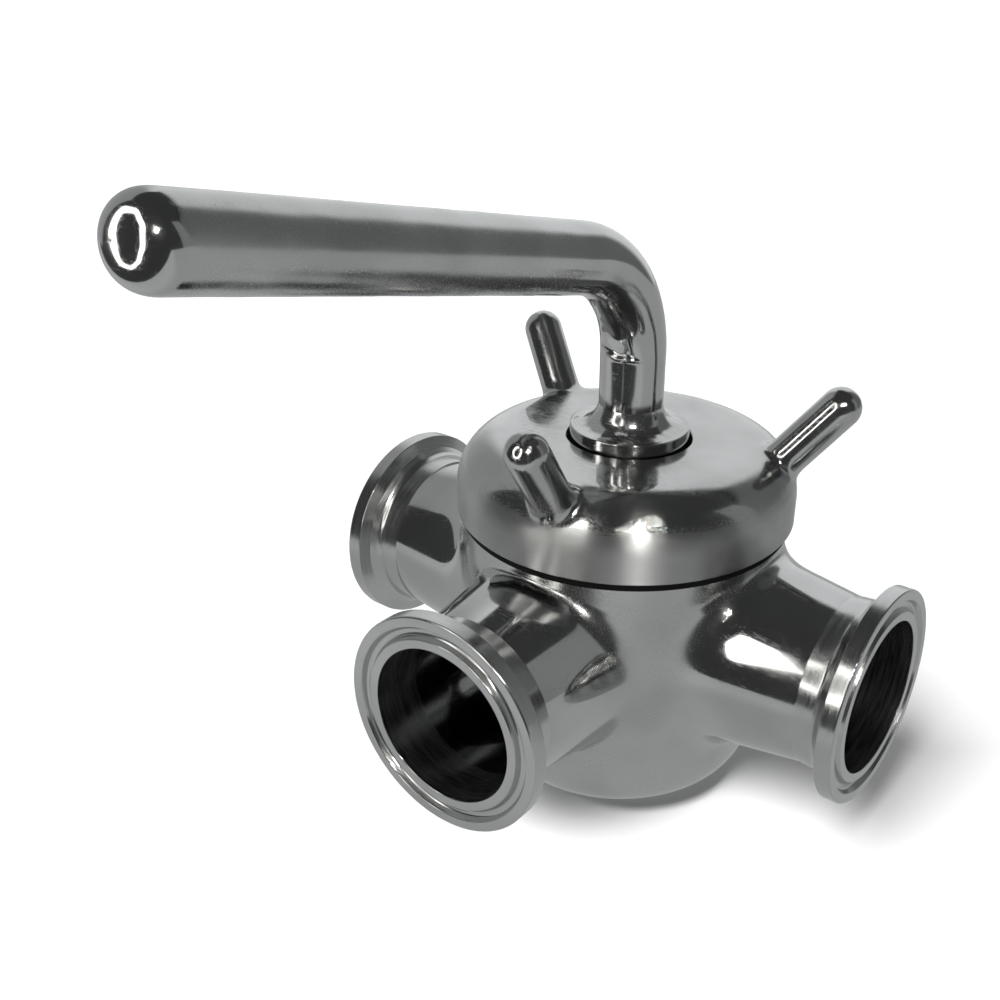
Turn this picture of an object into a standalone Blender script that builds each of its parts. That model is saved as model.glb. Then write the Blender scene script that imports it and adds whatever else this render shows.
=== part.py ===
"""Three way taper plug valve for hygienic pipework, in metres, +Z up.

The origin is the centre of the body's flat underside.  The stem stands on +Z,
the two run ports lie on +X and -X, and the branch port lies on -Y.
"""
import math

import bmesh
import bpy
from mathutils import Matrix, Vector

MM = 0.001

# ---------------------------------------------------------------- dimensions
GAP = 0.3            # space kept between neighbouring solids
STEPS = 40           # sides of a large turned piece
PORT_H = 40.5        # height of the port axes above the underside
BORE_R = 18.0        # port bore
PASSAGE_R = 17.5     # passage through the plug

# body: a closed cup with a tapered seat and a threaded neck
BODY_FOOT_R = 34.8
BODY_TOP_R = 38.7
BODY_CORNER = 9.5
SHOULDER_Z = 65.8
NECK_R = 33.6
NECK_TOP_Z = 74.2
FLOOR_Z = 5.0

# taper plug and its stem
PLUG_MID_R = 27.2    # at port height
PLUG_TAPER = 0.07    # radius gained per unit of height
PLUG_LOW_Z = 7.5
PLUG_TOP_Z = 73.5
STEM_R = 14.0
STEM_TOP_Z = 88.1

# cap nut
CAP_R = 40.25
CAP_LIP_Z = 67.1
CAP_TOP_Z = 85.2
CAP_SHOULDER_R = 11.8
CAP_CEILING_Z = 77.3
CAP_HOLE_R = 14.8
CAP_ROOT_R = 35.3

# thread between the neck and the cap
PITCH = 3.0
MALE_CREST_R = 34.9
FEMALE_CREST_R = 34.0
MALE_START_Z = 68.3
MALE_TURNS = 1.7
FEMALE_TURNS = 2.6

# ports and clamp ferrules
RUN_REACH = 70.0     # stem axis to the sealing face
BRANCH_REACH = 67.5
STUB_ROOT_R = 22.9
STUB_TIP_R = 19.95
FERRULE_LEN = 11.85
FLANGE_R = 25.25     # half of the standard 50.5 flange

# handle: a vertical leg, a bent tube above it and a domed end
BAR_R = 7.5
TUBE_WALL = 2.0
BEND_R = 26.6
RISE = math.radians(11.8)        # the grip climbs outwards
CORNER_Z = 126.1                 # where the leg and grip lines cross
GRIP_LEN = 119.4                 # from that corner to the domed end
HANDLE_TURN = math.radians(-91.0)
SEAM_Z = 103.4

# cap pins
PIN_R = 4.75
PIN_LEN = 25.0
PIN_BASE_R = 34.8
PIN_BASE_Z = 80.9
PIN_SET = ((25.5, 50.5), (152.5, 49.0), (277.5, 54.0))   # azimuth, rise


# ---------------------------------------------------------------- scene setup
for old in list(bpy.data.objects):
    bpy.data.objects.remove(old, do_unlink=True)

scene = bpy.context.scene
parts = bpy.data.collections.new("three_way_valve")
tools = bpy.data.collections.new("cutters")
scene.collection.children.link(parts)
scene.collection.children.link(tools)


def material(name, colour, rough, metal):
    mat = bpy.data.materials.new(name)
    mat.use_nodes = True
    shader = mat.node_tree.nodes["Principled BSDF"]
    shader.inputs["Base Color"].default_value = (*colour, 1.0)
    shader.inputs["Roughness"].default_value = rough
    shader.inputs["Metallic"].default_value = metal
    return mat


def mirror_steel(name, tint=0.0):
    grey = 0.62 + tint
    return material(name, (grey, grey, grey * 0.98), 0.08, 1.0)


def as_cutter(obj):
    """A helper solid: never shown and never part of the valve."""
    for coll in list(obj.users_collection):
        coll.objects.unlink(obj)
    tools.objects.link(obj)
    obj.hide_render = True
    obj.display_type = "WIRE"
    return obj


def smooth(obj, angle=35.0):
    obj.data.shade_smooth()
    obj.data.set_sharp_from_angle(angle=math.radians(angle))


def turned(name, profile, mat=None, ring=False, steps=STEPS):
    """Turn a half section of (radius, height) points about Z.

    The section runs down its outer side.  A ring section closes on itself;
    any other starts and ends on the axis.
    """
    mesh = bpy.data.meshes.new(name)
    verts = [(r * MM, 0.0, z * MM) for r, z in profile]
    edges = [(i, i + 1) for i in range(len(verts) - 1)]
    if ring:
        edges.append((len(verts) - 1, 0))
    mesh.from_pydata(verts, edges, [])
    obj = bpy.data.objects.new(name, mesh)
    parts.objects.link(obj)
    turn = obj.modifiers.new("turn", "SCREW")
    turn.axis = "Z"
    turn.angle = math.tau
    turn.steps = steps
    turn.render_steps = steps
    turn.use_merge_vertices = True
    turn.merge_threshold = 0.00001
    turn.use_smooth_shade = True
    if mat:
        mesh.materials.append(mat)
    return obj


def arc(cx, cz, radius, a0, a1, count):
    """Points on an arc in the section plane, angles in degrees from +R."""
    out = []
    for i in range(count + 1):
        a = math.radians(a0 + (a1 - a0) * i / count)
        out.append((cx + radius * math.cos(a), cz + radius * math.sin(a)))
    return out


def boolean(obj, tool, operation):
    mod = obj.modifiers.new(operation.lower() + "_" + tool.name, "BOOLEAN")
    mod.operation = operation
    mod.solver = "EXACT"
    mod.object = tool
    return mod


def cylinder(name, radius, low, high, axis="Z", sides=40):
    """A cutting cylinder from low to high along an axis through the ports."""
    bm = bmesh.new()
    bmesh.ops.create_cone(bm, cap_ends=True, segments=sides, radius1=radius * MM,
                          radius2=radius * MM, depth=(high - low) * MM)
    bmesh.ops.translate(bm, verts=bm.verts, vec=(0, 0, (high + low) / 2 * MM))
    mesh = bpy.data.meshes.new(name)
    bm.to_mesh(mesh)
    bm.free()
    obj = bpy.data.objects.new(name, mesh)
    parts.objects.link(obj)
    obj.location = (0, 0, PORT_H * MM)
    if axis == "X":
        obj.rotation_euler = (0, math.pi / 2, 0)
    elif axis == "-Y":
        obj.rotation_euler = (math.pi / 2, 0, 0)
    return as_cutter(obj)


def evaluated_mesh(obj):
    bpy.context.view_layer.update()
    deps = bpy.context.evaluated_depsgraph_get()
    return bpy.data.meshes.new_from_object(obj.evaluated_get(deps))


def thread_ridge(name, root, crest, start_z, turns):
    """A helical ridge of trapezoid section, as a closed cutter solid."""
    wide, narrow = 0.65, 0.35
    section = [(root, wide), (crest, narrow), (crest, -narrow), (root, -wide)]
    mesh = bpy.data.meshes.new(name)
    mesh.from_pydata([(r * MM, 0, z * MM) for r, z in section],
                     [(0, 1), (1, 2), (2, 3), (3, 0)], [])
    coil = bpy.data.objects.new(name + "_coil", mesh)
    parts.objects.link(coil)
    steps = round(STEPS * turns)
    turn = coil.modifiers.new("coil", "SCREW")
    turn.axis = "Z"
    turn.angle = math.tau * steps / STEPS
    turn.screw_offset = PITCH * steps / STEPS * MM
    turn.steps = steps
    turn.render_steps = steps
    turn.use_merge_vertices = False
    solid = evaluated_mesh(coil)
    bpy.data.objects.remove(coil, do_unlink=True)
    bm = bmesh.new()
    bm.from_mesh(solid)
    bmesh.ops.remove_doubles(bm, verts=bm.verts, dist=0.000001)
    bmesh.ops.holes_fill(bm, edges=[e for e in bm.edges if e.is_boundary], sides=8)
    bmesh.ops.recalc_face_normals(bm, faces=bm.faces)
    bm.to_mesh(solid)
    bm.free()
    obj = bpy.data.objects.new(name, solid)
    parts.objects.link(obj)
    obj.location = (0, 0, start_z * MM)
    return as_cutter(obj)


# ---------------------------------------------------------------- valve body
def seat_r(z):
    return PLUG_MID_R + PLUG_TAPER * (z - PORT_H)


def body_outline(grow=0.0):
    """The body's outer side from the shoulder down to the underside."""
    low = arc(BODY_FOOT_R - BODY_CORNER, BODY_CORNER, BODY_CORNER + grow, 0, -90, 7)
    return [(BODY_TOP_R + grow - 0.5, SHOULDER_Z + grow), (BODY_TOP_R + grow, SHOULDER_Z - 0.5),
            (BODY_TOP_R + grow, SHOULDER_Z - 6.0)] + low


body_mat = mirror_steel("body_steel")
body = turned("valve_body", [
    (0.0, FLOOR_Z), (seat_r(FLOOR_Z + 1.5) - 1.2, FLOOR_Z), (seat_r(FLOOR_Z + 1.5) + 0.35, FLOOR_Z + 1.5),
    (seat_r(NECK_TOP_Z) + 0.35, NECK_TOP_Z), (NECK_R - 0.5, NECK_TOP_Z), (NECK_R, NECK_TOP_Z - 0.5),
    (NECK_R, SHOULDER_Z)] + body_outline() + [(0.0, 0.0)], body_mat)
male = thread_ridge("male_thread", NECK_R - 0.5, MALE_CREST_R, MALE_START_Z, MALE_TURNS)
boolean(body, male, "UNION")

run_cut = cylinder("run_cut", BORE_R, -50.0, 50.0, "X")
branch_cut = cylinder("branch_cut", BORE_R, 10.0, 50.0, "-Y")
boolean(body, run_cut, "DIFFERENCE")
boolean(body, branch_cut, "DIFFERENCE")

body_skin = as_cutter(turned("body_skin", [(0.0, SHOULDER_Z + GAP)] + body_outline(GAP) + [(0.0, -GAP)]))

# ---------------------------------------------------------------- ports
PORTS = (("right", RUN_REACH, (0, math.pi / 2, 0)),
         ("left", RUN_REACH, (0, -math.pi / 2, 0)),
         ("front", BRANCH_REACH, (math.pi / 2, 0, 0)))


def ferrule_section(reach):
    """Clamp ferrule: sealing face with a gasket groove, flange, back cone, neck."""
    f = reach
    return [(BORE_R + 0.3, f), (20.1, f), (20.8, f - 1.5), (22.2, f - 1.5), (22.9, f),
            (FLANGE_R - 0.4, f), (FLANGE_R, f - 0.4), (FLANGE_R, f - 3.5), (FLANGE_R - 0.4, f - 3.9),
            (22.4, f - 4.9), (20.9, f - 6.2), (20.2, f - 8.4), (20.0, f - FERRULE_LEN),
            (BORE_R, f - FERRULE_LEN), (BORE_R, f - 0.3)]


for side, reach, turn_to in PORTS:
    tip = reach - FERRULE_LEN - GAP
    root = 26.0
    slope = (STUB_TIP_R - STUB_ROOT_R) / (tip - 36.0)
    stub = turned("port_stub_" + side, [
        (STUB_TIP_R, tip), (STUB_ROOT_R + slope * (root - 36.0), root), (BORE_R, root), (BORE_R, tip)],
        mirror_steel("stub_steel_" + side, 0.01), ring=True, steps=36)
    stub.location = (0, 0, PORT_H * MM)
    stub.rotation_euler = turn_to
    boolean(stub, body_skin, "DIFFERENCE")

    ferrule = turned("clamp_ferrule_" + side, ferrule_section(reach),
                     material("ferrule_steel_" + side, (0.6, 0.6, 0.59), 0.14, 1.0), ring=True, steps=36)
    ferrule.location = (0, 0, PORT_H * MM)
    ferrule.rotation_euler = turn_to

# ---------------------------------------------------------------- plug and stem
plug_axis = bpy.data.objects.new("plug_axis", None)
parts.objects.link(plug_axis)

RING_Z = 66.2
plug = turned("plug", [
    (0.0, PLUG_TOP_Z), (seat_r(PLUG_TOP_Z) - 0.5, PLUG_TOP_Z), (seat_r(PLUG_TOP_Z), PLUG_TOP_Z - 0.5),
    (seat_r(RING_Z + 1.2), RING_Z + 1.2), (27.0, RING_Z + 1.2), (27.0, RING_Z - 1.2),
    (seat_r(RING_Z - 1.2), RING_Z - 1.2), (seat_r(PLUG_LOW_Z + 1.0), PLUG_LOW_Z + 1.0),
    (seat_r(PLUG_LOW_Z) - 1.0, PLUG_LOW_Z), (0.0, PLUG_LOW_Z)], mirror_steel("plug_steel"))
plug.parent = plug_axis
passage_run = cylinder("passage_run", PASSAGE_R, -45.0, 45.0, "X")
passage_branch = cylinder("passage_branch", PASSAGE_R, 0.0, 45.0, "-Y")
boolean(plug, passage_run, "DIFFERENCE")
boolean(plug, passage_branch, "DIFFERENCE")

plug_ring = turned("plug_o_ring", arc(28.1, RING_Z, 0.8, 90, -210, 5),
                   material("seal_rubber", (0.02, 0.02, 0.02), 0.6, 0.0), ring=True, steps=36)
plug_ring.parent = plug_axis

washer = turned("thrust_washer", [(28.3, PLUG_TOP_Z + 3.5), (28.3, PLUG_TOP_Z + GAP),
                                  (STEM_R + 0.4, PLUG_TOP_Z + GAP), (STEM_R + 0.4, PLUG_TOP_Z + 3.5)],
                material("washer_ptfe", (0.85, 0.85, 0.82), 0.5, 0.0), ring=True, steps=36)
washer.parent = plug_axis

stem = turned("plug_stem", [
    (0.0, STEM_TOP_Z), (STEM_R - 0.5, STEM_TOP_Z), (STEM_R, STEM_TOP_Z - 0.5), (STEM_R, PLUG_TOP_Z + GAP),
    (0.0, PLUG_TOP_Z + GAP)], mirror_steel("stem_steel"), steps=36)
stem.parent = plug_axis

# ---------------------------------------------------------------- handle
leg = turned("handle_leg", [(0.0, SEAM_Z), (BAR_R, SEAM_Z), (BAR_R, STEM_TOP_Z + GAP), (0.0, STEM_TOP_Z + GAP)],
             mirror_steel("leg_steel"), steps=20)
leg.parent = plug_axis

weld_z = STEM_TOP_Z + GAP
weld = turned("leg_weld", [(BAR_R + 0.9, weld_z + 5.6), (8.9, weld_z + 4.0), (9.7, weld_z + 2.9),
                           (11.4, weld_z + 1.7), (13.0, weld_z + 0.6), (13.3, weld_z),
                           (BAR_R + 0.35, weld_z), (BAR_R + 0.35, weld_z + 5.6)],
              material("weld_steel", (0.55, 0.55, 0.54), 0.2, 1.0), ring=True, steps=24)
weld.parent = plug_axis

ALONG = Vector((math.cos(HANDLE_TURN), math.sin(HANDLE_TURN), 0.0))
GRIP = ALONG * math.cos(RISE) + Vector((0, 0, math.sin(RISE)))
SWEEP = math.pi / 2 - RISE
LEAD = BEND_R * math.tan(SWEEP / 2)          # corner to the start of the bend


def handle_line(start_drop, end_len):
    """Centre line of the bent tube: rises, bends over and runs out to the end."""
    foot = Vector((0, 0, CORNER_Z - LEAD))
    centre = foot + ALONG * BEND_R
    pts = [foot - Vector((0, 0, start_drop))] if start_drop > 0 else []
    for i in range(13):
        a = SWEEP * i / 12
        pts.append(centre - ALONG * (BEND_R * math.cos(a)) + Vector((0, 0, BEND_R * math.sin(a))))
    corner = Vector((0, 0, CORNER_Z))
    pts.append(corner + GRIP * end_len)
    return pts


def bar(name, points, radius, sides=20):
    """A closed round bar along a line of points, as a mesh object."""
    curve = bpy.data.curves.new(name, "CURVE")
    curve.dimensions = "3D"
    curve.bevel_depth = radius * MM
    curve.bevel_resolution = (sides - 4) // 2
    curve.use_fill_caps = True
    spline = curve.splines.new("POLY")
    spline.points.add(len(points) - 1)
    for point, place in zip(spline.points, points):
        point.co = (place.x * MM, place.y * MM, place.z * MM, 1.0)
    rail = bpy.data.objects.new(name + "_rail", curve)
    parts.objects.link(rail)
    mesh = evaluated_mesh(rail)
    place = rail.matrix_world.copy()
    bpy.data.objects.remove(rail, do_unlink=True)
    bm = bmesh.new()
    bm.from_mesh(mesh)
    bmesh.ops.remove_doubles(bm, verts=bm.verts, dist=0.00001)
    bmesh.ops.recalc_face_normals(bm, faces=bm.faces)
    bm.to_mesh(mesh)
    bm.free()
    obj = bpy.data.objects.new(name, mesh)
    obj.matrix_world = place
    parts.objects.link(obj)
    return obj


tube_foot = CORNER_Z - LEAD - (SEAM_Z + GAP)
arm = bar("handle_arm", handle_line(tube_foot, GRIP_LEN), BAR_R)
arm.data.materials.append(mirror_steel("grip_steel"))
hollow = as_cutter(bar("arm_hollow", handle_line(tube_foot + 5.0, GRIP_LEN + 5.0), BAR_R - TUBE_WALL))
boolean(arm, hollow, "DIFFERENCE")
smooth(arm)
arm.parent = plug_axis

DOME = 6.5
end_cap = turned("handle_end_cap", [(0.0, DOME)] + [
    (2.6 + (BAR_R - 2.6) * math.sin(a), 0.6 + (DOME - 0.6) * math.cos(a))
    for a in (math.pi / 2 * i / 5 for i in range(6))] + [
    (BAR_R, GAP), (BAR_R - TUBE_WALL - GAP, GAP), (BAR_R - TUBE_WALL - GAP, -4.0), (0.0, -4.0)],
    mirror_steel("end_steel"), steps=20)
end_cap.matrix_world = (Matrix.Translation((Vector((0, 0, CORNER_Z)) + GRIP * GRIP_LEN) * MM)
                        @ GRIP.to_track_quat("Z", "Y").to_matrix().to_4x4())
end_cap.parent = plug_axis

# ---------------------------------------------------------------- cap nut
seal_lift = bpy.data.objects.new("seal_lift", None)
parts.objects.link(seal_lift)
cap_axis = bpy.data.objects.new("cap_axis", None)
parts.objects.link(cap_axis)
cap_axis.parent = seal_lift

SEAL_Z = 82.8


def cap_outline(grow=0.0):
    shoulder = arc(CAP_R - CAP_SHOULDER_R, CAP_TOP_Z - CAP_SHOULDER_R, CAP_SHOULDER_R + grow, 90, 0, 8)
    return shoulder + [(CAP_R + grow, CAP_LIP_Z + 0.4), (CAP_R + grow - 0.4, CAP_LIP_Z - grow)]


cap = turned("cap_nut", [(CAP_HOLE_R, CAP_TOP_Z - 0.3), (CAP_HOLE_R + 0.3, CAP_TOP_Z)] + cap_outline() + [
    (CAP_ROOT_R, CAP_LIP_Z), (CAP_ROOT_R, CAP_CEILING_Z - 0.5), (CAP_ROOT_R - 0.5, CAP_CEILING_Z),
    (CAP_HOLE_R, CAP_CEILING_Z), (CAP_HOLE_R, SEAL_Z - 1.3), (16.7, SEAL_Z - 1.3), (16.7, SEAL_Z + 1.3),
    (CAP_HOLE_R, SEAL_Z + 1.3)], mirror_steel("cap_steel"), ring=True)
female = thread_ridge("female_thread", CAP_ROOT_R + 0.5, FEMALE_CREST_R,
                      MALE_START_Z, FEMALE_TURNS)
# half a turn ahead of the male ridge, so each ridge runs in the other's groove
female.rotation_euler = (0, 0, math.pi)
boolean(cap, female, "UNION")
cap.parent = cap_axis

cap_skin = as_cutter(turned("cap_skin", [(0.0, CAP_TOP_Z + GAP)] + cap_outline(GAP) + [(0.0, CAP_LIP_Z - GAP)]))

for number, (azimuth, rise) in enumerate(PIN_SET, 1):
    a, e = math.radians(azimuth), math.radians(rise)
    axis = Vector((math.cos(a) * math.cos(e), math.sin(a) * math.cos(e), math.sin(e)))
    foot = Vector((PIN_BASE_R * math.cos(a), PIN_BASE_R * math.sin(a), PIN_BASE_Z))
    pin = turned("cap_pin_%d" % number,
                 [(0.0, PIN_LEN)] + arc(0.0, PIN_LEN - PIN_R, PIN_R, 70, 0, 4) + [(PIN_R, -7.0), (0.0, -7.0)],
                 mirror_steel("pin_steel_%d" % number), steps=16)
    pin.matrix_world = (Matrix.Translation(foot * MM) @ axis.to_track_quat("Z", "Y").to_matrix().to_4x4())
    boolean(pin, cap_skin, "DIFFERENCE")
    pin.parent = cap_axis

stem_seal = turned("stem_seal", arc(15.35, SEAL_Z, 0.9, 90, -210, 5),
                   material("stem_rubber", (0.02, 0.02, 0.02), 0.6, 0.0), ring=True, steps=36)
stem_seal.parent = seal_lift

gasket = turned("cap_gasket", [(39.4, SHOULDER_Z + 1.0), (39.4, SHOULDER_Z + GAP),
                               (34.6, SHOULDER_Z + GAP), (34.6, SHOULDER_Z + 1.0)],
                material("gasket_rubber", (0.015, 0.015, 0.015), 0.55, 0.0), ring=True)
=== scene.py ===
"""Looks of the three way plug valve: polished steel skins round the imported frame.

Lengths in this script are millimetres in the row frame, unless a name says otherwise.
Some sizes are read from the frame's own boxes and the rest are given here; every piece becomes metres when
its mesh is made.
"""
import math

import bpy
import numpy as np
from mathutils import Euler, Matrix, Vector


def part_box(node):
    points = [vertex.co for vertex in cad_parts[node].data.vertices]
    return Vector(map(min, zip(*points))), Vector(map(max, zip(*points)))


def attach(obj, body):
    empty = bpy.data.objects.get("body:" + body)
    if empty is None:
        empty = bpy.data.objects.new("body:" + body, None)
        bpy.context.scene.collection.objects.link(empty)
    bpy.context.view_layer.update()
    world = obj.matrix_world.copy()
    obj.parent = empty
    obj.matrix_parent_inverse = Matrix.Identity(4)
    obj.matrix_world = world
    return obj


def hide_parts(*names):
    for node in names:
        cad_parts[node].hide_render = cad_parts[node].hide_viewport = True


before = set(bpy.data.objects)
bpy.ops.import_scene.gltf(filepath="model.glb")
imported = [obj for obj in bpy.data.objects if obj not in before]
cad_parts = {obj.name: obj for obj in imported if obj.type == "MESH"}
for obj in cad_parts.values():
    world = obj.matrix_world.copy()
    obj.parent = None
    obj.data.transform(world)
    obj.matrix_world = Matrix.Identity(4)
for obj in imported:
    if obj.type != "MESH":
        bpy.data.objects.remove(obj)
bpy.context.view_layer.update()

MM = 0.001
TAU = math.tau
X, Y, Z = 0, 1, 2         # places in a point


# ---------------------------------------------------------------- sizes, some read from the frame and the rest given
def corners(node):
    """The lowest and highest corner of a node's box."""
    low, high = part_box(node)
    return low / MM, high / MM


body_high = corners("valve_body")[1]
cap_low, cap_high = corners("cap_nut")
right_low, right_high = corners("clamp_ferrule_right")
front_low = corners("clamp_ferrule_front")[0]
plug_low, plug_high = corners("plug")
stem_high = corners("plug_stem")[1]
leg_high = corners("handle_leg")[1]
washer_low, washer_high = corners("thrust_washer")

PORT_H = (right_low.z + right_high.z) / 2
FLANGE_R = (right_high.z - right_low.z) / 2
FERRULE_LEN = right_high.x - right_low.x
REACH = {"right": right_high.x, "left": right_high.x, "front": -front_low.y}
BORE_R = 18.0
PASSAGE_R = 17.5
STUB_ROOT_R = 22.9        # at STUB_ROOT_X from the stem axis
STUB_ROOT_X = 36.0
STUB_TIP_R = 20.0

BODY_FOOT_R = 34.8
BODY_TOP_R = 38.7
BODY_CORNER = 9.5
STRAIGHT_Z = 59.8         # the body's side stands upright above this
SHOULDER_Z = 65.8
NECK_R = 33.6
NECK_TOP_Z = body_high.z
SPARE = 4.0               # blended skins run this far past the planes that trim them
ABOVE_ALL = 92.0          # where the cutting tools end, above the body and the cap's flat top
RIM_GAP = 0.8             # from the shoulder down to where the port welds begin to spread
RIM_BAND = 7.0            # and how far down they reach their full spread
FLOOR_Z = 5.0
WELD_FILLET = {"right": 10.0, "left": 10.0, "front": 6.0}   # how far the port welds spread
WELD_LEAST = 0.06         # share of that spread left at the rim

PLUG_TAPER = 0.07
PLUG_MID_R = 27.2         # on the port axes
PLUG_RING_Z = 66.2
PLUG_RING_R = 28.1
PLUG_RING_MINOR = 0.85    # radius of the ring's own section
PLUG_GROOVE_R = 27.0
PLUG_GROOVE_HALF = 1.2
SEAT_GAP = 0.35

CAP_R = cap_high.x
CAP_LIP_Z = cap_low.z
CAP_TOP_Z = cap_high.z
CAP_SHOULDER_R = 11.8
GASKET_R = CAP_R - 1.0
GASKET_BORE_R = 34.6
CAP_CEILING_Z = 77.3
CAP_HOLE_R = 14.8
CAP_ROOT_R = 35.3         # of the cap's thread
SEAL_Z = 82.8
SEAL_R = 15.35
SEAL_MINOR = 0.95
SEAL_GROOVE_R = 16.7
SEAL_GROOVE_HALF = 1.3
PIN_R = 4.75
PIN_LEN = 25.0
PIN_BASE_R = 34.8         # a pin's length runs from here, just inside the cap's shoulder
PIN_BASE_Z = 80.9
PIN_SUNK = 5.0            # how much further in its solid starts
PIN_SET = ((25.5, 50.5), (152.5, 49.0), (277.5, 54.0))   # azimuth, rise
PIN_FILLET = 4.0

PITCH = 3.0
THREAD_Z = 68.3
THREAD_STEPS = 120        # points to a turn
THREAD_FADE = 14          # points over which a ridge rises at either end
THREAD_SUNK = 0.4         # how deep a ridge's root lies in its wall
MALE_CREST_R = 34.9
MALE_TURNS = 1.9
FEMALE_CREST_R = 34.0
FEMALE_TURNS = 2.6

STEM_R = stem_high.x
STEM_TOP_Z = stem_high.z
BAR_R = leg_high.x
BEND_R = 26.6
RISE = math.radians(11.8)
CORNER_Z = 126.1
GRIP_LEN = 120.2
DOME = 7.0
DOME_SQUARE = 2.4         # 2 is an ellipse, more is flatter in the middle
HANDLE_TURN = math.radians(-91.0)


# ---------------------------------------------------------------- mesh making
def link(obj):
    bpy.context.scene.collection.objects.link(obj)
    return obj


def mesh_object(name, points, faces, normals=None, place=None):
    """A smooth mesh from points in millimetres, with one normal per face corner."""
    mesh = bpy.data.meshes.new(name)
    mesh.from_pydata((np.asarray(points) * MM).tolist(), [], faces)
    mesh.shade_smooth()
    if normals is not None:
        mesh.normals_split_custom_set(np.asarray(normals).tolist())
    obj = link(bpy.data.objects.new(name, mesh))
    if place is not None:
        obj.matrix_world = place
    return obj


def rounded(section, closed):
    """Fillets a section of (radius, height, fillet) corners that runs down its outer side.

    Gives stretches (point, normal, point, normal), so that a sharp corner keeps two normals.
    """
    count = len(section)
    pts = [Vector(c[:2]) for c in section]
    sizes = [c[2] if len(c) > 2 else 0.0 for c in section]
    runs = []
    for i, here in enumerate(pts):
        last, after = pts[i - 1], pts[(i + 1) % count]
        end = not closed and i in (0, count - 1)
        if end or sizes[i] == 0.0:
            runs.append([(here, None)])
            continue
        a, b = (here - last).normalized(), (after - here).normalized()
        turn = a.x * b.y - a.y * b.x
        half = math.acos(max(-1.0, min(1.0, a.dot(b)))) / 2
        back = sizes[i] * math.tan(half)
        start = here - a * back
        na, nb = Vector((-a.y, a.x)), Vector((-b.y, b.x))
        side = 1.0 if turn < 0 else -1.0         # outward corner or inward corner
        centre = start - na * sizes[i] * side
        steps = max(3, math.ceil(math.degrees(2 * half) / 9))
        a0 = math.atan2(na.y, na.x)
        da = math.atan2(na.x * nb.y - na.y * nb.x, na.dot(nb))
        arc = []
        for k in range(steps + 1):
            n = Vector((math.cos(a0 + da * k / steps), math.sin(a0 + da * k / steps)))
            arc.append((centre + n * sizes[i] * side, n))
        runs.append(arc)
    out = []
    for i, run in enumerate(runs):
        for (p, n), (q, m) in zip(run, run[1:]):
            out.append((p, n, q, m))
        if not closed and i == count - 1:
            break
        p, q = run[-1][0], runs[(i + 1) % count][0][0]
        if (q - p).length > 1e-6:
            d = (q - p).normalized()
            flat = Vector((-d.y, d.x))
            out.append((p, flat, q, flat))
    return out


def lathe(name, section, closed=False, steps=160, place=None):
    """Turns a filleted section about Z, with exact normals."""
    runs = rounded(section, closed)
    angles = np.arange(steps) * TAU / steps
    ring = np.stack([np.cos(angles), np.sin(angles)], 1)
    points, rows = [], []

    def row_of(p):
        start = len(points)
        if p.x < 1e-6:
            points.append((0.0, 0.0, p.y))
            return (start, 1)
        points.extend((p.x * c, p.x * s, p.y) for c, s in ring)
        return (start, steps)

    rows.append(row_of(runs[0][0]))
    for k, (_, _, q, _) in enumerate(runs):
        rows.append(rows[0] if closed and k == len(runs) - 1 else row_of(q))
    faces, normals = [], []
    for k, (_, n, _, m) in enumerate(runs):
        (a, wide_a), (b, wide_b) = rows[k], rows[k + 1]
        for j in range(steps):
            j2 = (j + 1) % steps
            c, d = ring[j], ring[j2]
            corner = [(a + (j if wide_a > 1 else 0), n, c), (b + (j if wide_b > 1 else 0), m, c),
                      (b + (j2 if wide_b > 1 else 0), m, d), (a + (j2 if wide_a > 1 else 0), n, d)]
            if wide_a == 1:
                corner.pop(3)
            elif wide_b == 1:
                corner.pop(2)
            faces.append([v for v, _, _ in corner])
            normals.extend((u.x * t[0], u.x * t[1], u.y) for _, u, t in corner)
    return mesh_object(name, points, faces, normals, place)


def sheet_normals(surface, u, v):
    """Unit normals of surface(u, v) by central differences."""
    h = 1e-4
    du = surface(u + h, v) - surface(u - h, v)
    dv = surface(u, v + h) - surface(u, v - h)
    n = np.cross(dv, du)
    return n / np.maximum(np.linalg.norm(n, axis=-1, keepdims=True), 1e-12)


def tube_sheet(name, surface, us, sides):
    """A closed skin over surface(u, angle): rings at each u, and a flat fan at either end."""
    vs = np.arange(sides) * TAU / sides
    uu, vv = np.meshgrid(us, vs, indexing="ij")
    grid = surface(uu.ravel(), vv.ravel())
    normal = sheet_normals(surface, uu.ravel(), vv.ravel())
    quads = []
    for i in range(len(us) - 1):
        for j in range(sides):
            j2 = (j + 1) % sides
            quads.append((i * sides + j, (i + 1) * sides + j, (i + 1) * sides + j2, i * sides + j2))
    quads = np.array(quads)
    a, b, c = (grid[quads[:, k]] for k in range(3))
    if (a * np.cross(b, c)).sum() < 0:            # wound inside out
        quads = quads[:, ::-1]
    across = np.cross(b - a, c - a) * (1 if (a * np.cross(b, c)).sum() >= 0 else -1)
    if (across * normal[quads[:, 0]]).sum() < 0:
        normal = -normal
    points, faces = grid.tolist(), quads.tolist()
    normals = normal[quads.ravel()].tolist()
    for row, inner in ((0, 1), (len(us) - 1, len(us) - 2)):
        ring = np.arange(sides) + row * sides
        hub = grid[ring].mean(0)
        away = hub - grid[np.arange(sides) + inner * sides].mean(0)
        away /= np.linalg.norm(away)
        facing = np.cross(grid[ring[0]] - hub, grid[ring[1]] - hub) @ away > 0
        points.append(hub.tolist())
        for j in range(sides):
            pair = [int(ring[j]), int(ring[(j + 1) % sides])]
            faces.append([len(points) - 1] + (pair if facing else pair[::-1]))
            normals.extend([away.tolist()] * 3)
    return mesh_object(name, points, faces, normals)


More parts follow.
